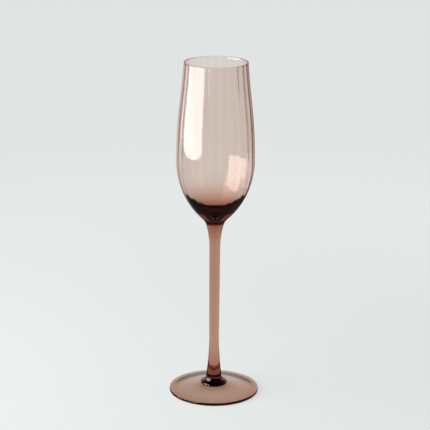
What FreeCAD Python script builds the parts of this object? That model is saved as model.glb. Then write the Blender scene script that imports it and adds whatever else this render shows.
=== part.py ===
import FreeCAD, Part
import math
import os
import Sketcher
from FreeCAD import Vector

# Champagne flute in hand-worked tinted glass: three gathers of glass, fused at two joints.
# The foot is a domed disc with a hollow underside, the stem is a drawn rod that flares into
# a round pad on the foot, and the bowl is a blown tulip with a thick solid base.
# Every piece is a solid of revolution about Z. The origin is the middle of the circle that
# the foot rests on, and +Z points up the stem. Neighbours meet face to face, on a plane.

DIMENSIONS = {
    # foot
    "foot_radius": 34.0,
    "foot_edge_radius": 0.55,
    "foot_edge_height": 2.3,
    "foot_rest_inner_radius": 31.6,
    "foot_hollow_height": 3.7,
    "foot_top_curve_radius": 230.0,
    # joint between foot and stem
    "seat_radius": 9.8,
    "seat_height": 5.7,
    # stem
    "pad_radius": 10.1,
    "pad_edge_radius": 1.2,
    "flare_curve_radius": 4.0,
    "lower_taper_curve_radius": 225.0,
    "waist_radius": 3.67,
    "waist_height": 45.0,
    "upper_stem_radius": 4.1,
    "upper_stem_height": 115.0,
    # joint between stem and bowl
    "neck_radius": 6.92,
    "neck_height": 133.8,
    # bowl
    "neck_curve_radius": 13.8,
    "belly_curve_radius": 60.0,
    "belly_radius": 29.2,
    "belly_height": 182.0,
    "shoulder_curve_radius": 380.0,
    "mouth_curve_radius": 550.0,
    "rim_middle_radius": 23.3,
    "flute_height": 256.5,
    "wall": 0.8,
    "inner_belly_curve_radius": 56.0,
    "inner_turn_curve_radius": 24.0,
    "inner_turn_height": 160.5,
    "inner_bottom_curve_radius": 8.0,
    "inner_bottom_height": 139.2,
}

SHEET = "Dimensions"
START, END, CENTRE = 1, 2, 3
LEFT, RIGHT = "left", "right"
ORIGIN_POINT = (-1, 1)
VERTICAL_AXIS = -2


def add_sheet(doc):
    """Put the driving dimensions in a spreadsheet, one row each, with the name as alias."""
    sheet = doc.addObject("Spreadsheet::Sheet", SHEET)
    for row, (name, value) in enumerate(DIMENSIONS.items(), start=1):
        sheet.set(f"A{row}", name)
        sheet.set(f"B{row}", str(value))
        sheet.setAlias(f"B{row}", name)
    doc.recompute()
    return sheet


def sized(name):
    """The expression that reads one driving dimension."""
    return f"{SHEET}.{name}"


def point(radius, height):
    """A point of an outline: its distance from the axis and its height."""
    return Vector(radius, height, 0)


def circles_meet(centre_a, radius_a, centre_b, radius_b, side):
    """Where two circles cross, to the left (side 1) or the right (side -1) of the way a to b."""
    along = centre_b - centre_a
    gap = along.Length
    reach = (gap**2 + radius_a**2 - radius_b**2) / (2 * gap)
    off = math.sqrt(radius_a**2 - reach**2)
    along.normalize()
    across = point(-along.y, along.x)
    return centre_a + along * reach + across * (side * off)


def tangent_facing(centre_a, radius_a, centre_b, radius_b):
    """The direction, square to it, in which the line that touches two circles lies from
    both centres, where circle b is smaller and the line passes on the left of a to b."""
    along = centre_b - centre_a
    gap = along.Length
    share = (radius_a - radius_b) / gap
    along = along / gap
    across = point(-along.y, along.x)
    return along * share + across * math.sqrt(1 - share**2)


def toward(start, goal, distance):
    """The point at a distance from start on the way to goal."""
    way = goal - start
    way.normalize()
    return start + way * distance


class Outline:
    """A closed sketch in a body's XZ plane, drawn with solved points and then constrained."""

    def __init__(self, body, name):
        self.sketch = body.newObject("Sketcher::SketchObject", name)
        plane = next(item for item in body.Origin.OriginFeatures if item.Role == "XZ_Plane")
        self.sketch.AttachmentSupport = [(plane, "")]
        self.sketch.MapMode = "FlatFace"
        self.ends = []

    def line(self, start, end):
        """Add a line and return its number."""
        self.ends.append((START, END))
        return self.sketch.addGeometry(Part.LineSegment(start, end), False)

    def arc(self, turn, centre, start, end):
        """Add the arc from start to end about centre, turning left or right as it runs."""
        first = math.atan2(start.y - centre.y, start.x - centre.x)
        last = math.atan2(end.y - centre.y, end.x - centre.x)
        if turn == LEFT:
            self.ends.append((START, END))
        else:
            first, last = last, first
            self.ends.append((END, START))
        circle = Part.Circle(centre, Vector(0, 0, 1), (start - centre).Length)
        return self.sketch.addGeometry(Part.ArcOfCircle(circle, first, last), False)

    def where(self, edge, place):
        """The sketcher's number for an edge's start, end or centre, as the outline runs."""
        return CENTRE if place == CENTRE else self.ends[edge][place - 1]

    def constrain(self, *description):
        """Add one geometric constraint."""
        self.sketch.addConstraint(Sketcher.Constraint(*description))

    def bind(self, name, expression, *description):
        """Add one constraint with a size, named and bound to the sheet."""
        number = self.sketch.addConstraint(Sketcher.Constraint(*description))
        self.sketch.renameConstraint(number, name)
        self.sketch.setExpression(f"Constraints.{name}", expression)

    def meet(self, first, second, smooth=False):
        """Join the end of one edge to the start of the next, tangent if smooth."""
        kind = "Tangent" if smooth else "Coincident"
        self.constrain(kind, first, self.where(first, END), second, self.where(second, START))

    def place(self, edge, place, name, radius=None, height=None):
        """Fix how far a point is from the axis, how high it is, or both."""
        spot = (edge, self.where(edge, place))
        drawn = self.sketch.getPoint(*spot)
        if radius is not None:
            self.bind(f"{name}_radius", radius, "DistanceX", *ORIGIN_POINT, *spot, drawn.x)
        if height is not None:
            self.bind(f"{name}_height", height, "DistanceY", *ORIGIN_POINT, *spot, drawn.y)

    def curve(self, edge, name, radius):
        """Fix the radius of an arc."""
        self.bind(name, radius, "Radius", edge, self.sketch.Geometry[edge].Radius)

    def on_axis(self, edge, place):
        """Keep a point on the axis of revolution."""
        self.constrain("PointOnObject", edge, self.where(edge, place), VERTICAL_AXIS)

    def level(self, edge):
        """Keep a line horizontal."""
        self.constrain("Horizontal", edge)


def revolve(body, outline, name):
    """Turn an outline about the body's axis into a solid."""
    turned = body.newObject("PartDesign::Revolution", name)
    turned.Profile = outline.sketch
    turned.ReferenceAxis = (outline.sketch, ["V_Axis"])
    turned.Angle = 360
    outline.sketch.Visibility = False
    body.Tip = turned
    return turned


def new_body(doc, label):
    """A body for one piece of glass, standing at the origin."""
    body = doc.addObject("PartDesign::Body", label)
    body.Label = label
    body.Placement = FreeCAD.Placement()
    return body


def add_foot(doc, size):
    """The domed disc: a flat seat for the pad, a blunt edge and a hollow underside."""
    body = new_body(doc, "foot")
    outline = Outline(body, "foot_outline")
    seat_edge = point(size.seat_radius, size.seat_height)
    edge_radius = size.foot_edge_radius
    upper_centre = point(size.foot_radius - edge_radius, size.foot_edge_height - edge_radius)
    lower_centre = point(size.foot_radius - edge_radius, edge_radius)
    top_radius = size.foot_top_curve_radius
    top_centre = circles_meet(seat_edge, top_radius, upper_centre, top_radius + edge_radius, 1)
    top_end = toward(upper_centre, top_centre, edge_radius)
    side_top = upper_centre + point(edge_radius, 0)
    side_bottom = lower_centre + point(edge_radius, 0)
    rest_outer = point(lower_centre.x, 0)
    rest_inner = point(size.foot_rest_inner_radius, 0)
    hollow_top = point(0, size.foot_hollow_height)
    hollow_drop = (rest_inner.x**2 - hollow_top.y**2) / (2 * hollow_top.y)
    hollow_centre = point(0, -hollow_drop)

    seat = outline.line(point(0, size.seat_height), seat_edge)
    top = outline.arc(LEFT, top_centre, seat_edge, top_end)
    upper_edge = outline.arc(RIGHT, upper_centre, top_end, side_top)
    side = outline.line(side_top, side_bottom)
    lower_edge = outline.arc(RIGHT, lower_centre, side_bottom, rest_outer)
    rest = outline.line(rest_outer, rest_inner)
    hollow = outline.arc(LEFT, hollow_centre, rest_inner, hollow_top)
    core = outline.line(hollow_top, point(0, size.seat_height))

    outline.meet(seat, top)
    outline.meet(top, upper_edge, smooth=True)
    outline.meet(upper_edge, side, smooth=True)
    outline.meet(side, lower_edge, smooth=True)
    outline.meet(lower_edge, rest, smooth=True)
    outline.meet(rest, hollow)
    outline.meet(hollow, core)
    outline.meet(core, seat)
    outline.level(seat)
    outline.on_axis(core, START)
    outline.on_axis(core, END)
    outline.on_axis(hollow, CENTRE)
    outline.place(seat, END, "seat", sized("seat_radius"), sized("seat_height"))
    outline.curve(top, "top_curve", sized("foot_top_curve_radius"))
    edge_reach = f"{sized('foot_radius')} - {sized('foot_edge_radius')}"
    outline.curve(upper_edge, "upper_edge_curve", sized("foot_edge_radius"))
    outline.place(upper_edge, CENTRE, "upper_edge_middle", edge_reach,
                  f"{sized('foot_edge_height')} - {sized('foot_edge_radius')}")
    outline.curve(lower_edge, "lower_edge_curve", sized("foot_edge_radius"))
    outline.place(lower_edge, CENTRE, "lower_edge_middle", edge_reach,
                  sized("foot_edge_radius"))
    outline.place(rest, END, "rest_inner", sized("foot_rest_inner_radius"))
    outline.level(rest)
    outline.place(core, START, "hollow", height=sized("foot_hollow_height"))
    revolve(body, outline, "foot_solid")
    return body, outline


def add_stem(doc, size):
    """The drawn rod: a rounded pad on the foot, a flare, a slender waist and a widening neck."""
    body = new_body(doc, "stem")
    outline = Outline(body, "stem_outline")
    pad_start = point(size.seat_radius, size.seat_height)
    pad_middle = size.pad_radius - size.pad_edge_radius
    pad_rise = math.sqrt(size.pad_edge_radius**2 - (size.seat_radius - pad_middle)**2)
    pad_centre = point(pad_middle, size.seat_height + pad_rise)
    waist = point(size.waist_radius, size.waist_height)
    upper = point(size.upper_stem_radius, size.upper_stem_height)
    neck = point(size.neck_radius, size.neck_height)

    shaft_way = upper - waist
    shaft_way.normalize()
    outward = point(shaft_way.y, -shaft_way.x)
    taper_centre = waist + outward * size.lower_taper_curve_radius
    flare_centre = circles_meet(pad_centre, size.pad_edge_radius + size.flare_curve_radius,
                                taper_centre,
                                size.lower_taper_curve_radius - size.flare_curve_radius, 1)
    pad_end = toward(pad_centre, flare_centre, size.pad_edge_radius)
    flare_end = toward(taper_centre, flare_centre, size.lower_taper_curve_radius)
    neck_way = neck - upper
    neck_curve = neck_way.Length**2 / (2 * neck_way.dot(outward))
    neck_centre = upper + outward * neck_curve

    base = outline.line(point(0, size.seat_height), pad_start)
    pad = outline.arc(LEFT, pad_centre, pad_start, pad_end)
    flare = outline.arc(RIGHT, flare_centre, pad_end, flare_end)
    taper = outline.arc(RIGHT, taper_centre, flare_end, waist)
    shaft = outline.line(waist, upper)
    widening = outline.arc(RIGHT, neck_centre, upper, neck)
    top = outline.line(neck, point(0, size.neck_height))
    core = outline.line(point(0, size.neck_height), point(0, size.seat_height))

    outline.meet(base, pad)
    outline.meet(pad, flare, smooth=True)
    outline.meet(flare, taper, smooth=True)
    outline.meet(taper, shaft, smooth=True)
    outline.meet(shaft, widening, smooth=True)
    outline.meet(widening, top)
    outline.meet(top, core)
    outline.meet(core, base)
    outline.level(base)
    outline.level(top)
    outline.on_axis(core, START)
    outline.on_axis(core, END)
    outline.place(base, END, "seat", sized("seat_radius"), sized("seat_height"))
    outline.curve(pad, "pad_edge_curve", sized("pad_edge_radius"))
    outline.place(pad, CENTRE, "pad_middle",
                  f"{sized('pad_radius')} - {sized('pad_edge_radius')}")
    outline.curve(flare, "flare_curve", sized("flare_curve_radius"))
    outline.curve(taper, "taper_curve", sized("lower_taper_curve_radius"))
    outline.place(shaft, START, "waist", sized("waist_radius"), sized("waist_height"))
    outline.place(shaft, END, "upper", sized("upper_stem_radius"), sized("upper_stem_height"))
    outline.place(top, START, "neck", sized("neck_radius"), sized("neck_height"))
    revolve(body, outline, "stem_solid")
    return body, outline


def add_bowl(doc, size):
    """The blown tulip: an even wall down to the belly, then thickening into a solid base
    round a conical inner bottom."""
    body = new_body(doc, "bowl")
    outline = Outline(body, "bowl_outline")
    wall = size.wall
    neck = point(size.neck_radius, size.neck_height)
    belly = point(size.belly_radius, size.belly_height)
    inner_belly = point(size.belly_radius - wall, size.belly_height)
    rim_centre = point(size.rim_middle_radius, size.flute_height - wall / 2)

    belly_centre = belly - point(size.belly_curve_radius, 0)
    neck_centre = circles_meet(belly_centre, size.belly_curve_radius + size.neck_curve_radius,
                               neck, size.neck_curve_radius, 1)
    neck_end = toward(belly_centre, neck_centre, size.belly_curve_radius)
    shoulder_centre = belly - point(size.shoulder_curve_radius, 0)
    mouth_radius = size.mouth_curve_radius
    mouth_centre = circles_meet(shoulder_centre, size.shoulder_curve_radius + mouth_radius,
                                rim_centre, mouth_radius + wall / 2, -1)
    shoulder_end = toward(shoulder_centre, mouth_centre, size.shoulder_curve_radius)
    inner_shoulder_end = toward(shoulder_centre, mouth_centre,
                                size.shoulder_curve_radius - wall)
    rim_outer = toward(rim_centre, mouth_centre, wall / 2)
    rim_inner = toward(rim_centre, mouth_centre, -wall / 2)
    inner_curve = size.inner_belly_curve_radius
    inner_centre = inner_belly - point(inner_curve, 0)
    bottom = point(0, size.inner_bottom_height)
    cap_radius = size.inner_bottom_curve_radius
    cap_centre = bottom + point(0, cap_radius)
    turn_drop = size.belly_height - size.inner_turn_height
    turn_radius = size.inner_turn_curve_radius
    turn_start = inner_centre + point(math.sqrt(inner_curve**2 - turn_drop**2), -turn_drop)
    turn_centre = toward(turn_start, inner_centre, turn_radius)
    facing = tangent_facing(turn_centre, turn_radius, cap_centre, cap_radius)
    cone_top = turn_centre + facing * turn_radius
    cone_end = cap_centre + facing * cap_radius

    base = outline.line(point(0, size.neck_height), neck)
    neck_arc = outline.arc(RIGHT, neck_centre, neck, neck_end)
    belly_arc = outline.arc(LEFT, belly_centre, neck_end, belly)
    shoulder_arc = outline.arc(LEFT, shoulder_centre, belly, shoulder_end)
    mouth_arc = outline.arc(RIGHT, mouth_centre, shoulder_end, rim_outer)
    rim_arc = outline.arc(LEFT, rim_centre, rim_outer, rim_inner)
    inner_mouth = outline.arc(LEFT, mouth_centre, rim_inner, inner_shoulder_end)
    inner_shoulder = outline.arc(RIGHT, shoulder_centre, inner_shoulder_end, inner_belly)
    inner_belly_arc = outline.arc(RIGHT, inner_centre, inner_belly, turn_start)
    turn_arc = outline.arc(RIGHT, turn_centre, turn_start, cone_top)
    cone = outline.line(cone_top, cone_end)
    cap = outline.arc(RIGHT, cap_centre, cone_end, bottom)
    core = outline.line(bottom, point(0, size.neck_height))

    outline.meet(base, neck_arc)
    outline.meet(neck_arc, belly_arc, smooth=True)
    outline.meet(belly_arc, shoulder_arc, smooth=True)
    outline.meet(shoulder_arc, mouth_arc, smooth=True)
    outline.meet(mouth_arc, rim_arc, smooth=True)
    outline.meet(rim_arc, inner_mouth, smooth=True)
    outline.meet(inner_mouth, inner_shoulder, smooth=True)
    outline.meet(inner_shoulder, inner_belly_arc, smooth=True)
    outline.meet(inner_belly_arc, turn_arc, smooth=True)
    outline.meet(turn_arc, cone, smooth=True)
    outline.meet(cone, cap, smooth=True)
    outline.meet(cap, core)
    outline.meet(core, base)
    outline.level(base)
    outline.on_axis(core, START)
    outline.on_axis(core, END)
    outline.on_axis(cap, CENTRE)
    outline.place(base, END, "neck", sized("neck_radius"), sized("neck_height"))
    outline.curve(neck_arc, "neck_curve", sized("neck_curve_radius"))
    outline.curve(belly_arc, "belly_curve", sized("belly_curve_radius"))
    outline.place(belly_arc, END, "belly", sized("belly_radius"), sized("belly_height"))
    outline.place(belly_arc, CENTRE, "belly_middle", height=sized("belly_height"))
    outline.curve(shoulder_arc, "shoulder_curve", sized("shoulder_curve_radius"))
    outline.curve(mouth_arc, "mouth_curve", sized("mouth_curve_radius"))
    outline.curve(rim_arc, "rim_curve", f"{sized('wall')} / 2")
    outline.place(rim_arc, CENTRE, "rim_middle", sized("rim_middle_radius"),
                  f"{sized('flute_height')} - {sized('wall')} / 2")
    outline.constrain("Coincident", inner_mouth, CENTRE, mouth_arc, CENTRE)
    outline.constrain("Coincident", inner_shoulder, CENTRE, shoulder_arc, CENTRE)
    outline.curve(inner_belly_arc, "inner_belly_curve", sized("inner_belly_curve_radius"))
    outline.place(inner_belly_arc, START, "inner_belly", height=sized("belly_height"))
    outline.curve(turn_arc, "inner_turn_curve", sized("inner_turn_curve_radius"))
    outline.place(turn_arc, START, "inner_turn", height=sized("inner_turn_height"))
    outline.curve(cap, "inner_bottom_curve", sized("inner_bottom_curve_radius"))
    outline.place(core, START, "inner_bottom", height=sized("inner_bottom_height"))
    revolve(body, outline, "bowl_solid")
    return body, outline


def check_document(doc, pieces):
    """Stop before writing if an object failed, a sketch is loose or a shape isn't one solid."""
    for item in doc.Objects:
        if "Invalid" in item.State or "Error" in item.State:
            raise RuntimeError(f"{item.Label} did not recompute: {item.State}")
    for body, outline in pieces:
        if outline.sketch.solve() != 0 or not outline.sketch.FullyConstrained:
            raise RuntimeError(f"{outline.sketch.Label} isn't fully constrained")
        shape = body.Shape
        if shape.isNull() or not shape.isValid() or len(shape.Solids) != 1:
            raise RuntimeError(f"{body.Label} isn't one valid solid")


def main():
    os.makedirs("parts", exist_ok=True)
    doc = FreeCAD.newDocument("champagne_flute")
    size = add_sheet(doc)
    pieces = [add_foot(doc, size), add_stem(doc, size), add_bowl(doc, size)]
    doc.recompute()
    check_document(doc, pieces)
    for body, _outline in pieces:
        box = body.Shape.optimalBoundingBox()
        print(f"{body.Label}: volume {body.Shape.Volume:.0f} mm3, radius {box.XMax:.2f} mm,"
              f" height {box.ZMin:.2f} to {box.ZMax:.2f} mm")
        body.Shape.exportStep(f"parts/{body.Label}.step")


main()
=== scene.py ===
"""Champagne flute in smoky rose glass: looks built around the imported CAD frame."""

import math

import bpy
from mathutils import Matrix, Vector


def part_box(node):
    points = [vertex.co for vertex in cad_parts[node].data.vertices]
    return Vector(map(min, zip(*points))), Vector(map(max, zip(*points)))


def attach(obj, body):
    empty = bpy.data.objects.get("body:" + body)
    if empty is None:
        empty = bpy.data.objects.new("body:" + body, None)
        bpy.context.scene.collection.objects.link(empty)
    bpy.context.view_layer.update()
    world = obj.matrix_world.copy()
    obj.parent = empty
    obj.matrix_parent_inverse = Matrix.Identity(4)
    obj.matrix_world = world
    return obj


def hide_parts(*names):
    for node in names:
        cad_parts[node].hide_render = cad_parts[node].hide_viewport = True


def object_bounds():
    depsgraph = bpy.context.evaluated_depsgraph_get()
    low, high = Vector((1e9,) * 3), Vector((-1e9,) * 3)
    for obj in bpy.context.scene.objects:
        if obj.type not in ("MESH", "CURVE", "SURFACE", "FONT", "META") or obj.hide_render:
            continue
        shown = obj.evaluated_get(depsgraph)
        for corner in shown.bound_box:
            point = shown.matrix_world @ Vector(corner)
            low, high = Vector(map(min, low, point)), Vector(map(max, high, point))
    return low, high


MM = 0.001

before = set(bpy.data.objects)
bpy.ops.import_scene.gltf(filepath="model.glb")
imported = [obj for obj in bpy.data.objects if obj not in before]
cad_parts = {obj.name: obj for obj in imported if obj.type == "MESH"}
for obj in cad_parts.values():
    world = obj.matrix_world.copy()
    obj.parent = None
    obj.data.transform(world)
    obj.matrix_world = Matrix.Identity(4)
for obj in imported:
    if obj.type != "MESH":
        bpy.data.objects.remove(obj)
cad_low, cad_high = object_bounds()


# ---------------------------------------------------------------- outlines
# A point of an outline is (distance from the axis, height). Sizes are millimetres, and the
# ones that the CAD nodes show are read from the frame.

def in_mm(metres):
    """A length from the frame, in millimetres."""
    return metres / MM


foot_low, foot_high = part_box("foot")
stem_low, stem_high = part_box("stem")
bowl_low, bowl_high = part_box("bowl")

FOOT_RADIUS = in_mm(foot_high.x)
SEAT_HEIGHT = in_mm(stem_low.z)
PAD_RADIUS = in_mm(stem_high.x)
NECK_HEIGHT = in_mm(bowl_low.z)
BELLY_RADIUS = in_mm(bowl_high.x)
FLUTE_HEIGHT = in_mm(bowl_high.z)

FOOT_EDGE_CURVE = 0.55
FOOT_EDGE_HEIGHT = 2.3
FOOT_REST_INNER_RADIUS = 31.6
FOOT_HOLLOW_HEIGHT = 3.7
FOOT_TOP_CURVE = 230.0
SEAT_RADIUS = 9.8
PAD_EDGE_CURVE = 1.2
FLARE_CURVE = 4.0
LOWER_TAPER_CURVE = 225.0
WAIST_RADIUS = 3.67
WAIST_HEIGHT = 45.0
UPPER_STEM_RADIUS = 4.1
UPPER_STEM_HEIGHT = 115.0
NECK_RADIUS = 6.92
NECK_CURVE = 13.8
BELLY_CURVE = 60.0
BELLY_HEIGHT = 182.0
SHOULDER_CURVE = 380.0
MOUTH_CURVE = 550.0
RIM_MIDDLE_RADIUS = 23.3
WALL = 0.8
INNER_BELLY_CURVE = 56.0
INNER_TURN_CURVE = 24.0
INNER_TURN_HEIGHT = 160.5
INNER_BOTTOM_CURVE = 8.0
INNER_BOTTOM_HEIGHT = 139.2

# The optic flutes wave the bowl's inner wall. Each depth, in millimetres to either side, adds
# to the one before and comes in over a stretch of radii or heights.
OPTIC_RIBS = 24
OPTIC_BASE_DEPTH, OPTIC_BASE_RADII = 0.015, (1.0, 9.0)
OPTIC_TURN_DEPTH, OPTIC_TURN_HEIGHTS = 0.035, (150.0, 170.0)
OPTIC_WALL_DEPTH, OPTIC_WALL_HEIGHTS = 0.05, (180.0, 205.0)

# Between pieces, because tinted volumes that nearly touch render with false dark spots.
JOINT_GAP = 0.1

# The longest edges of the meshes along their outlines, and their count round the axis.
STEP = 1.0
EDGE_STEP = 0.1
EDGE_SIDE_STEP = 0.3
BEAD_STEP = 0.12
TURN_STEP = 0.4
STEM_NECK_STEP = 0.6
BOWL_NECK_STEP = 0.5
WALL_STEP = 2.0
SEGMENTS = OPTIC_RIBS * 16
ON_AXIS = 1e-6

LEFT, RIGHT = 1, -1


def point(radius, height):
    """A point of an outline."""
    return Vector((radius, height))


def circles_meet(centre_a, radius_a, centre_b, radius_b, side):
    """Where two circles cross, to the LEFT or the RIGHT of the way from a to b."""
    along = centre_b - centre_a
    gap = along.length
    reach = (gap**2 + radius_a**2 - radius_b**2) / (2 * gap)
    off = math.sqrt(radius_a**2 - reach**2)
    along.normalize()
    across = point(-along.y, along.x)
    return centre_a + along * reach + across * (side * off)


def toward(start, goal, distance):
    """The point at a distance from start on the way to goal."""
    return start + (goal - start).normalized() * distance


def tangent_facing(centre_a, radius_a, centre_b, radius_b):
    """The direction, square to it, in which the line that touches two circles lies from
    both centres, where circle b is smaller and the line passes on the left of a to b."""
    along = centre_b - centre_a
    share = (radius_a - radius_b) / along.length
    along.normalize()
    across = point(-along.y, along.x)
    return along * share + across * math.sqrt(1 - share**2)


def line(start, end, step=STEP):
    """Points from start up to, and without, end."""
    count = max(1, round((end - start).length / step))
    return [start.lerp(end, i / count) for i in range(count)]


def arc(turn, centre, start, end, step=STEP):
    """Points along an arc from start up to, and without, end."""
    radius = (start - centre).length
    first = math.atan2(start.y - centre.y, start.x - centre.x)
    last = math.atan2(end.y - centre.y, end.x - centre.x)
    sweep = (turn * (last - first)) % (2 * math.pi) * turn
    count = max(2, math.ceil(abs(sweep) * radius / step))
    angles = (first + sweep * i / count for i in range(count))
    return [centre + point(math.cos(a), math.sin(a)) * radius for a in angles]


def foot_outline():
    """The foot's own glass from the hollow's top, over the edge, to the rim of its seat."""
    seat_edge = point(SEAT_RADIUS, SEAT_HEIGHT)
    upper_centre = point(FOOT_RADIUS - FOOT_EDGE_CURVE, FOOT_EDGE_HEIGHT - FOOT_EDGE_CURVE)
    lower_centre = point(FOOT_RADIUS - FOOT_EDGE_CURVE, FOOT_EDGE_CURVE)
    top_centre = circles_meet(seat_edge, FOOT_TOP_CURVE, upper_centre,
                              FOOT_TOP_CURVE + FOOT_EDGE_CURVE, LEFT)
    top_end = toward(upper_centre, top_centre, FOOT_EDGE_CURVE)
    side_top = upper_centre + point(FOOT_EDGE_CURVE, 0)
    side_bottom = lower_centre + point(FOOT_EDGE_CURVE, 0)
    rest_outer = point(lower_centre.x, 0)
    rest_inner = point(FOOT_REST_INNER_RADIUS, 0)
    hollow_top = point(0, FOOT_HOLLOW_HEIGHT)
    drop = (rest_inner.x**2 - hollow_top.y**2) / (2 * hollow_top.y)
    return (arc(RIGHT, point(0, -drop), hollow_top, rest_inner)
            + line(rest_inner, rest_outer)
            + arc(LEFT, lower_centre, rest_outer, side_bottom, step=EDGE_STEP)
            + line(side_bottom, side_top, step=EDGE_SIDE_STEP)
            + arc(LEFT, upper_centre, side_top, top_end, step=EDGE_STEP)
            + arc(RIGHT, top_centre, top_end, seat_edge)
            + [seat_edge])


def stem_outline():
    """The stem's own glass from the pad's lower edge up to the neck."""
    pad_start = point(SEAT_RADIUS, SEAT_HEIGHT)
    pad_middle = PAD_RADIUS - PAD_EDGE_CURVE
    pad_rise = math.sqrt(PAD_EDGE_CURVE**2 - (SEAT_RADIUS - pad_middle)**2)
    pad_centre = point(pad_middle, SEAT_HEIGHT + pad_rise)
    waist = point(WAIST_RADIUS, WAIST_HEIGHT)
    upper = point(UPPER_STEM_RADIUS, UPPER_STEM_HEIGHT)
    neck = point(NECK_RADIUS, NECK_HEIGHT)
    shaft_way = (upper - waist).normalized()
    outward = point(shaft_way.y, -shaft_way.x)
    taper_centre = waist + outward * LOWER_TAPER_CURVE
    flare_centre = circles_meet(pad_centre, PAD_EDGE_CURVE + FLARE_CURVE,
                                taper_centre, LOWER_TAPER_CURVE - FLARE_CURVE, LEFT)
    pad_end = toward(pad_centre, flare_centre, PAD_EDGE_CURVE)
    flare_end = toward(taper_centre, flare_centre, LOWER_TAPER_CURVE)
    neck_way = neck - upper
    neck_centre = upper + outward * (neck_way.length_squared / (2 * neck_way.dot(outward)))
    return (arc(LEFT, pad_centre, pad_start, pad_end, step=BEAD_STEP)
            + arc(RIGHT, flare_centre, pad_end, flare_end, step=TURN_STEP)
            + arc(RIGHT, taper_centre, flare_end, waist)
            + line(waist, upper)
            + arc(RIGHT, neck_centre, upper, neck, step=STEM_NECK_STEP)
            + [neck])


def bowl_outlines():
    """The bowl's glass from the neck to the rim's top, and from there to the inner bottom."""
    neck = point(NECK_RADIUS, NECK_HEIGHT)
    belly = point(BELLY_RADIUS, BELLY_HEIGHT)
    inner_belly = point(BELLY_RADIUS - WALL, BELLY_HEIGHT)
    rim_centre = point(RIM_MIDDLE_RADIUS, FLUTE_HEIGHT - WALL / 2)
    belly_centre = belly - point(BELLY_CURVE, 0)
    neck_centre = circles_meet(belly_centre, BELLY_CURVE + NECK_CURVE, neck, NECK_CURVE, LEFT)
    neck_end = toward(belly_centre, neck_centre, BELLY_CURVE)
    shoulder_centre = belly - point(SHOULDER_CURVE, 0)
    mouth_centre = circles_meet(shoulder_centre, SHOULDER_CURVE + MOUTH_CURVE,
                                rim_centre, MOUTH_CURVE + WALL / 2, RIGHT)
    shoulder_end = toward(shoulder_centre, mouth_centre, SHOULDER_CURVE)
    inner_shoulder_end = toward(shoulder_centre, mouth_centre, SHOULDER_CURVE - WALL)
    rim_outer = toward(rim_centre, mouth_centre, WALL / 2)
    rim_inner = toward(rim_centre, mouth_centre, -WALL / 2)
    rim_top = rim_centre + point(0, WALL / 2)
    inner_centre = inner_belly - point(INNER_BELLY_CURVE, 0)
    bottom = point(0, INNER_BOTTOM_HEIGHT)
    cap_centre = bottom + point(0, INNER_BOTTOM_CURVE)
    turn_drop = BELLY_HEIGHT - INNER_TURN_HEIGHT
    turn_start = inner_centre + point(math.sqrt(INNER_BELLY_CURVE**2 - turn_drop**2), -turn_drop)
    turn_centre = toward(turn_start, inner_centre, INNER_TURN_CURVE)
    facing = tangent_facing(turn_centre, INNER_TURN_CURVE, cap_centre, INNER_BOTTOM_CURVE)
    cone_top = turn_centre + facing * INNER_TURN_CURVE
    cone_end = cap_centre + facing * INNER_BOTTOM_CURVE
    outside = (arc(RIGHT, neck_centre, neck, neck_end, step=BOWL_NECK_STEP)
               + arc(LEFT, belly_centre, neck_end, belly)
               + arc(LEFT, shoulder_centre, belly, shoulder_end, step=WALL_STEP)
               + arc(RIGHT, mouth_centre, shoulder_end, rim_outer, step=WALL_STEP)
               + arc(LEFT, rim_centre, rim_outer, rim_top, step=BEAD_STEP))
    inside = (arc(LEFT, rim_centre, rim_top, rim_inner, step=BEAD_STEP)
              + arc(LEFT, mouth_centre, rim_inner, inner_shoulder_end, step=WALL_STEP)
              + arc(RIGHT, shoulder_centre, inner_shoulder_end, inner_belly, step=WALL_STEP)
              + arc(RIGHT, inner_centre, inner_belly, turn_start)
              + arc(RIGHT, turn_centre, turn_start, cone_top, step=TURN_STEP)
              + line(cone_top, cone_end)
              + arc(RIGHT, cap_centre, cone_end, bottom, step=TURN_STEP)
              + [bottom])
    return outside, inside


# ---------------------------------------------------------------- turned glass

def rise(value, stretch):
    """0 below a stretch of values, 1 above it, and a smooth rise between."""
    low, high = stretch
    share = min(max((value - low) / (high - low), 0.0), 1.0)
    return share * share * (3 - 2 * share)


def optic(spot, angle):
    """How far the inner wall waves outward at a point of its outline, in millimetres.
    The flutes are pressed by the mould: faint in the thick base, full above the belly."""
    depth = (OPTIC_BASE_DEPTH * rise(spot.x, OPTIC_BASE_RADII)
             + OPTIC_TURN_DEPTH * rise(spot.y, OPTIC_TURN_HEIGHTS)
             + OPTIC_WALL_DEPTH * rise(spot.y, OPTIC_WALL_HEIGHTS))
    return -depth * math.cos(OPTIC_RIBS * angle)


def no_wave(_spot, _angle):
    """A plain turned surface."""
    return 0.0


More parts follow.
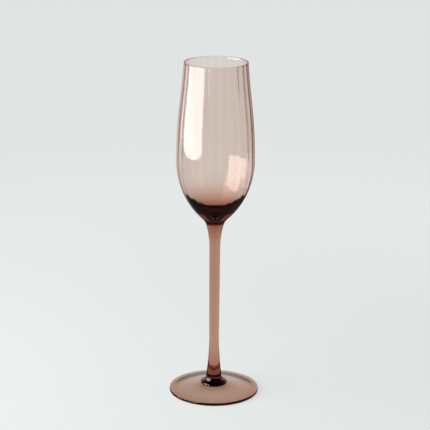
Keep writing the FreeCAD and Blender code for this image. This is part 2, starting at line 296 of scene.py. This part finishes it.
def turn(name, outline, waves, joint_rings):
    """A closed mesh: the outline turned about Z. A ring on the axis is one point.
    Faces that start at a ring in joint_rings are fused joints, with the second material."""
    vertices, rings = [], []
    for spot, wave in zip(outline, waves):
        if spot.x < ON_AXIS:
            rings.append([len(vertices)])
            vertices.append((0, 0, spot.y * MM))
            continue
        rings.append(list(range(len(vertices), len(vertices) + SEGMENTS)))
        for i in range(SEGMENTS):
            angle = 2 * math.pi * i / SEGMENTS
            radius = (spot.x + wave(spot, angle)) * MM
            vertices.append((radius * math.cos(angle), radius * math.sin(angle),
                             spot.y * MM))
    faces, joints = [], []
    for number, (low, high) in enumerate(zip(rings, rings[1:])):
        for i in range(SEGMENTS):
            j = (i + 1) % SEGMENTS
            if len(low) == 1:
                face = (low[0], high[j], high[i])
            elif len(high) == 1:
                face = (low[i], low[j], high[0])
            else:
                face = (low[i], low[j], high[j], high[i])
            faces.append(face)
            joints.append(number in joint_rings)
    mesh = bpy.data.meshes.new(name)
    mesh.from_pydata(vertices, [], faces)
    mesh.polygons.foreach_set("use_smooth", [True] * len(faces))
    mesh.polygons.foreach_set("material_index", [int(joint) for joint in joints])
    mesh.update()
    mark_sharp(mesh)
    return add_object(mesh)


def mark_sharp(mesh):
    """Keep the edges crisp where a joint face meets the outer glass."""
    kinds = {}
    for face in mesh.polygons:
        for key in face.edge_keys:
            kinds.setdefault(key, set()).add(face.material_index)
    sharp = [len(kinds[edge.key]) > 1 for edge in mesh.edges]
    attribute = mesh.attributes.new("sharp_edge", "BOOLEAN", "EDGE")
    attribute.data.foreach_set("value", sharp)


def add_object(data):
    """An object in the scene, named after its mesh, lamp or camera."""
    thing = bpy.data.objects.new(data.name, data)
    bpy.context.scene.collection.objects.link(thing)
    return thing


# ---------------------------------------------------------------- materials

GLASS_IOR = 1.51
STEM_ABSORBED = (74, 156, 196)
BOWL_ABSORBED = (95, 220, 275)
FOOT_ABSORBED = (105, 320, 430)
# Over 1, so that even the colour that is absorbed most keeps a share of the volume's tint.
DENSITY_MARGIN = 1.05
# The faint unevenness of hand-worked glass, in metres.
RIPPLE_SIZE = 0.02
RIPPLE_HEIGHT = 0.00001


class Nodes:
    """Adds nodes to one material or world."""

    def __init__(self, owner, keep=False):
        owner.use_nodes = True
        self.tree = owner.node_tree
        if not keep:
            self.tree.nodes.clear()

    def put(self, node, inputs):
        """Give inputs, by name or number, a constant or the output of another node."""
        for name, value in inputs.items():
            if isinstance(value, bpy.types.NodeSocket):
                self.tree.links.new(value, node.inputs[name])
            else:
                node.inputs[name].default_value = value

    def add(self, kind, inputs, **settings):
        """The outputs of a new node."""
        node = self.tree.nodes.new(f"ShaderNode{kind}")
        for name, value in settings.items():
            setattr(node, name, value)
        self.put(node, inputs)
        return node.outputs

    def calculate(self, operation, first, second=0.0):
        """A sum, product, comparison or the like."""
        return self.add("Math", {0: first, 1: second}, operation=operation)["Value"]

    def product(self, *shares):
        """Shares multiplied."""
        result, *others = shares
        for share in others:
            result = self.calculate("MULTIPLY", result, share)
        return result

    def fade(self, value, stretch, at_low, at_high):
        """A smooth change as a value crosses a stretch."""
        low, high = stretch
        return self.add("MapRange", {
            "Value": value, "From Min": low, "From Max": high,
            "To Min": at_low, "To Max": at_high,
        }, interpolation_type="SMOOTHSTEP")["Result"]

    def mix(self, share, first, second):
        """Two looks mixed: all first at 0 and all second at 1."""
        return self.add("MixShader", {"Fac": share, 1: first, 2: second})["Shader"]

    def even(self, colour, strength):
        """A look that takes no light."""
        return self.add("Emission", {"Color": (*colour, 1), "Strength": strength})["Emission"]


def glass(name, absorbed):
    """Tinted glass. absorbed is what a metre of it takes from red, green and blue."""
    material = bpy.data.materials.new(name)
    nodes = Nodes(material, keep=True)
    density = max(absorbed) * DENSITY_MARGIN
    tint = [1 - share / density for share in absorbed]
    volume = nodes.add("VolumeAbsorption", {"Color": (*tint, 1), "Density": density})
    place = nodes.add("TexCoord", {})
    noise = nodes.add("TexNoise", {"Vector": place["Object"], "Scale": 1 / RIPPLE_SIZE,
                                   "Detail": 1.0})
    bump = nodes.add("Bump", {"Height": noise["Fac"], "Strength": 1.0,
                              "Distance": RIPPLE_HEIGHT})
    nodes.put(nodes.tree.nodes["Principled BSDF"], {
        "Base Color": (1, 1, 1, 1), "Roughness": 0.0, "IOR": GLASS_IOR,
        "Transmission Weight": 1.0, "Normal": bump["Normal"]})
    nodes.put(nodes.tree.nodes["Material Output"], {"Volume": volume["Volume"]})
    return material


def fused(name, like):
    """The face of a fused joint: nothing to see, and the same tinted glass behind it."""
    material = like.copy()
    material.name = name
    nodes = Nodes(material, keep=True)
    clear = nodes.add("BsdfTransparent", {})
    nodes.put(nodes.tree.nodes["Material Output"], {"Surface": clear["BSDF"]})
    return material


# ---------------------------------------------------------------- the three pieces

def add_piece(name, node, outline, waves, joint_rings, absorbed):
    """One piece of glass that stands for its CAD node and rides with it."""
    piece = turn(name, outline, waves, joint_rings)
    skin = glass(f"{name}_tint", absorbed)
    piece.data.materials.append(skin)
    piece.data.materials.append(fused(f"{name}_joint", skin))
    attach(piece, "root")
    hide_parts(node)


def add_foot():
    """The foot, with the pad's seat as its joint."""
    outline = foot_outline()
    outline[-1] = outline[-1] - point(0, JOINT_GAP)
    outline.append(point(0, outline[-1].y))
    waves = [no_wave] * len(outline)
    add_piece("foot_glass", "foot", outline, waves,
              {len(outline) - 2}, FOOT_ABSORBED)


def add_stem():
    """The stem, with a joint at each end."""
    outline = [point(0, SEAT_HEIGHT)] + stem_outline() + [point(0, NECK_HEIGHT)]
    waves = [no_wave] * len(outline)
    add_piece("stem_glass", "stem", outline, waves,
              {0, len(outline) - 2}, STEM_ABSORBED)


def add_bowl():
    """The bowl, with its neck as a joint and optic flutes inside."""
    outside, inside = bowl_outlines()
    gap = point(0, JOINT_GAP)
    outline = [point(0, NECK_HEIGHT) + gap, outside[0] + gap] + outside[1:] + inside
    waves = [no_wave] * (len(outline) - len(inside)) + [optic] * len(inside)
    add_piece("bowl_glass", "bowl", outline, waves, {0}, BOWL_ABSORBED)


# ---------------------------------------------------------------- studio
# Metres from here on. X is to the right of the glass for the camera, and Y is behind it.

# Counts of surfaces that a ray has met, with the limit halfway between two counts.
MIRRORED_ONCE = 0.5
THROUGH_BOTH_WALLS = 3.5

# A pair of places is where a smooth change starts and ends. Those without an axis in their
# name are distances from the glass's own axis.
FLOOR_SIZE = 40.0
FLOOR_COLOUR = (0.81, 0.84, 0.825)
FLOOR_EVEN_SHARE = 0.7
FLOOR_ALL_EVEN = (0.1, 0.6)
# Painted shade: over the FLOOR_FAR stretch the floor's even glow dims a little, to the strength
# below.
FLOOR_FAR = (0.2, 1.0)
FLOOR_FAR_PAINTED_SHADE = 0.92
# Painted shade: the strength of the floor where the glass mirrors it, and of the painted dark
# strips and the painted shade under the foot seen through the glass.
PAINTED_SHADE_STRENGTH = 0.12
# Painted reflection: behind the glass on the left, the floor that the glass mirrors is painted
# paler, at this strength, over these stretches of X and Y.
PAINTED_REFLECTION_STRENGTH = 0.8
PAINTED_REFLECTION_X = (-0.05, 0.0)
PAINTED_REFLECTION_Y = (0.1, 0.4)
# Painted shade under the foot and in front of it, seen through the glass for light mirrored
# inside it: within this radius of the axis and in front of this Y.
PAINTED_SHADE_FOOT_RADIUS = 0.045
PAINTED_SHADE_FOOT_Y = 0.012
# Painted dark strips far behind, one on each side, that show only through both walls of the
# bowl, where they paint dark lines along its edges.
PAINTED_STRIP_SHARE = 0.6
PAINTED_STRIP_X = (0.12, 0.2)
PAINTED_STRIP_START_Y = (0.6, 0.75)
PAINTED_STRIP_END_Y = (1.3, 1.6)

# The world's pairs are parts of a direction of length 1.
STUDIO_COLOUR = (0.745, 0.773, 0.759)
STUDIO_DIM = 0.03
OVERHEAD_Z = (0.2, 0.6)
CAMERA_SIDE_Y = (-0.3, 0.5)

WINDOW_PLACE, WINDOW_GOAL = (-0.82, -0.24, 0.50), (0, 0, 0.50)
WINDOW_WIDTH, WINDOW_HEIGHT = 1.2, 1.0
WINDOW_STRENGTH = 6.3
TOP_PLACE, TOP_GOAL = (0.3, 0.4, 2.2), (0, 0, 0.1)
TOP_SIZE = 2.0
TOP_STRENGTH = 1.0

# Tilt and roll are degrees, and the lens is millimetres.
CAMERA_DISTANCE = 1.150
CAMERA_HEIGHT = 0.4765
CAMERA_TILT = 16.30
CAMERA_ROLL = 0.43
CAMERA_NEAREST, CAMERA_FARTHEST = 0.05, 30
LENS = 133.9

BOUNCES = 32
MIRROR_BOUNCES = 24


def pale(name):
    """The matt pale floor. For the camera, and seen through the glass, a share of its
    colour is even and the rest takes light and shadow; far away all of it is even, and a painted
    shade dims it a little there. The glass mirrors it with painted shade, but behind it on the
    left with a paler painted reflection, and through the glass there is painted shade under the
    foot and in front for light that was mirrored inside the glass. Painted dark strips far
    behind, one on each side, only show through both walls of the bowl, where they paint dark
    lines along its edges."""
    material = bpy.data.materials.new(name)
    nodes = Nodes(material)
    ray = nodes.add("LightPath", {})
    place = nodes.add("NewGeometry", {})["Position"]
    split = nodes.add("SeparateXYZ", {"Vector": place})
    aside = nodes.calculate("ABSOLUTE", split["X"])
    away = nodes.add("VectorMath", {0: place}, operation="LENGTH")["Value"]

    # Painted shade: the dark strips, seen only through both walls of the bowl.
    strips = nodes.product(
        nodes.fade(split["Y"], PAINTED_STRIP_START_Y, 0.0, PAINTED_STRIP_SHARE),
        nodes.fade(split["Y"], PAINTED_STRIP_END_Y, 1.0, 0.0),
        nodes.fade(aside, PAINTED_STRIP_X, 0.0, 1.0),
        nodes.calculate("GREATER_THAN", ray["Transmission Depth"], THROUGH_BOTH_WALLS))
    # Painted reflection: where the mirrored floor is painted paler, behind the glass on the
    # left.
    painted_reflection_place = nodes.product(nodes.fade(split["Y"], PAINTED_REFLECTION_Y, 0.0, 1.0),
                                nodes.fade(split["X"], PAINTED_REFLECTION_X, 1.0, 0.0))
    # Painted shade: the floor under and in front of the foot, for light mirrored inside the
    # glass.
    painted_shade_under_foot = nodes.product(
        nodes.calculate("GREATER_THAN", ray["Glossy Depth"], MIRRORED_ONCE),
        nodes.calculate("LESS_THAN", away, PAINTED_SHADE_FOOT_RADIUS),
        nodes.calculate("LESS_THAN", split["Y"], PAINTED_SHADE_FOOT_Y))

    matt = nodes.add("BsdfDiffuse", {"Color": (*FLOOR_COLOUR, 1)})["BSDF"]
    # Painted shade: the floor's even glow dims a little far from the glass.
    own = nodes.even(FLOOR_COLOUR, nodes.fade(away, FLOOR_FAR, 1.0, FLOOR_FAR_PAINTED_SHADE))
    # Painted shade: the floor as the glass mirrors it, much darker than it is.
    dim = nodes.even(FLOOR_COLOUR, PAINTED_SHADE_STRENGTH)
    bright = nodes.even(FLOOR_COLOUR, PAINTED_REFLECTION_STRENGTH)
    seen = nodes.mix(nodes.fade(away, FLOOR_ALL_EVEN, FLOOR_EVEN_SHARE, 1.0), matt, own)
    # Through the glass: the floor as seen, with painted dark strips and painted shade under the
    # foot.
    through = nodes.mix(strips, nodes.mix(painted_shade_under_foot, seen, dim), dim)
    # Painted reflection: what the glass mirrors of the floor, painted shade with a paler painted
    # patch behind on the left.
    painted_reflection_look = nodes.mix(painted_reflection_place, dim, bright)
    look = nodes.mix(ray["Is Glossy Ray"], matt, painted_reflection_look)
    look = nodes.mix(ray["Is Transmission Ray"], look, through)
    look = nodes.mix(ray["Is Camera Ray"], look, seen)
    nodes.add("OutputMaterial", {"Surface": look})
    return material


def rectangle(name, width, height):
    """A flat rectangle about its own origin."""
    x, y = width / 2, height / 2
    mesh = bpy.data.meshes.new(name)
    mesh.from_pydata([(-x, -y, 0), (x, -y, 0), (x, y, 0), (-x, y, 0)], [], [(0, 1, 2, 3)])
    return add_object(mesh)


def add_floor():
    """A plain pale floor under the foot."""
    floor = rectangle("floor", FLOOR_SIZE, FLOOR_SIZE)
    floor.location.z = cad_low.z
    floor.data.materials.append(pale("floor_matt"))


def add_soft_light(name, place, goal, width, height, strength, glossy):
    """A soft rectangular light at a place, facing a goal. strength is its brightness.
    It doesn't show straight through the glass."""
    lamp = bpy.data.lights.new(name, "AREA")
    lamp.shape = "RECTANGLE"
    lamp.size = width
    lamp.size_y = height
    lamp.energy = strength * math.pi * width * height
    light = add_object(lamp)
    light.location = place
    light.rotation_euler = (Vector(goal) - Vector(place)).to_track_quat("-Z", "Y").to_euler()
    light.visible_camera = False
    light.visible_glossy = glossy
    light.visible_transmission = False
    return light


def add_glow(light, strength):
    """The same bright rectangle, glowing though it lights nothing: a painted highlight for
    reflections that come out from inside the glass only.
    """
    name = f"{light.name}_glow"
    glow = rectangle(name, light.data.size, light.data.size_y)
    glow.matrix_world = light.matrix_basis
    glow.visible_camera = False
    glow.visible_diffuse = False
    glow.visible_glossy = False
    glow.visible_shadow = False
    material = bpy.data.materials.new(name)
    nodes = Nodes(material)
    ray = nodes.add("LightPath", {})
    mirrored = nodes.calculate("GREATER_THAN", ray["Glossy Depth"], MIRRORED_ONCE)
    clear = nodes.add("BsdfTransparent", {})["BSDF"]
    # Painted highlight: white glow only for rays mirrored inside the glass.
    look = nodes.mix(mirrored, clear, nodes.even((1, 1, 1), strength))
    nodes.add("OutputMaterial", {"Surface": look})
    glow.data.materials.append(material)


def add_lights():
    """A tall soft window at the camera's left, down to the floor, and a soft top fill."""
    window = add_soft_light("window", WINDOW_PLACE, WINDOW_GOAL, WINDOW_WIDTH, WINDOW_HEIGHT,
                            WINDOW_STRENGTH, glossy=True)
    # Painted highlight: the window's reflection seen from inside the glass.
    add_glow(window, WINDOW_STRENGTH)
    add_soft_light("top", TOP_PLACE, TOP_GOAL, TOP_SIZE, TOP_SIZE, TOP_STRENGTH, glossy=False)


def add_world():
    """The studio all round: pale at the level of the glass and dim overhead, and in
    reflections dim on the camera's side too. The camera itself sees one pale tone."""
    world = bpy.data.worlds.new("studio")
    bpy.context.scene.world = world
    nodes = Nodes(world)
    ray = nodes.add("LightPath", {})
    way = nodes.add("TexCoord", {})
    split = nodes.add("SeparateXYZ", {"Vector": way["Generated"]})

    def studio(strength):
        """One look of the studio."""
        return nodes.add("Background", {"Color": (*STUDIO_COLOUR, 1),
                                        "Strength": strength})["Background"]

    overhead = nodes.fade(split["Z"], OVERHEAD_Z, 1.0, STUDIO_DIM)
    camera_side = nodes.fade(split["Y"], CAMERA_SIDE_Y, STUDIO_DIM, 1.0)
    look = nodes.mix(ray["Is Transmission Ray"], studio(nodes.product(overhead, camera_side)),
                     studio(overhead))
    look = nodes.mix(ray["Is Camera Ray"], look, studio(1.0))
    nodes.add("OutputWorld", {"Surface": look})


def add_camera():
    """The photographer's view: a long lens, well above the rim and tilted down."""
    data = bpy.data.cameras.new("camera")
    data.lens = LENS
    data.clip_start = CAMERA_NEAREST
    data.clip_end = CAMERA_FARTHEST
    camera = add_object(data)
    middle = (cad_low + cad_high) / 2
    camera.location = (middle.x, middle.y - CAMERA_DISTANCE, cad_low.z + CAMERA_HEIGHT)
    camera.rotation_mode = "XYZ"
    camera.rotation_euler = (math.radians(90 - CAMERA_TILT), 0, 0)
    camera.rotation_euler.rotate_axis("Z", math.radians(CAMERA_ROLL))
    bpy.context.scene.camera = camera


def settle_scene():
    """Plain colour handling and enough bounces for thick glass."""
    scene = bpy.context.scene
    scene.view_settings.view_transform = "Standard"
    scene.cycles.max_bounces = BOUNCES
    scene.cycles.transmission_bounces = BOUNCES
    scene.cycles.glossy_bounces = MIRROR_BOUNCES
    scene.cycles.transparent_max_bounces = MIRROR_BOUNCES


add_foot()
add_stem()
add_bowl()
add_floor()
add_lights()
add_world()
add_camera()
settle_scene()
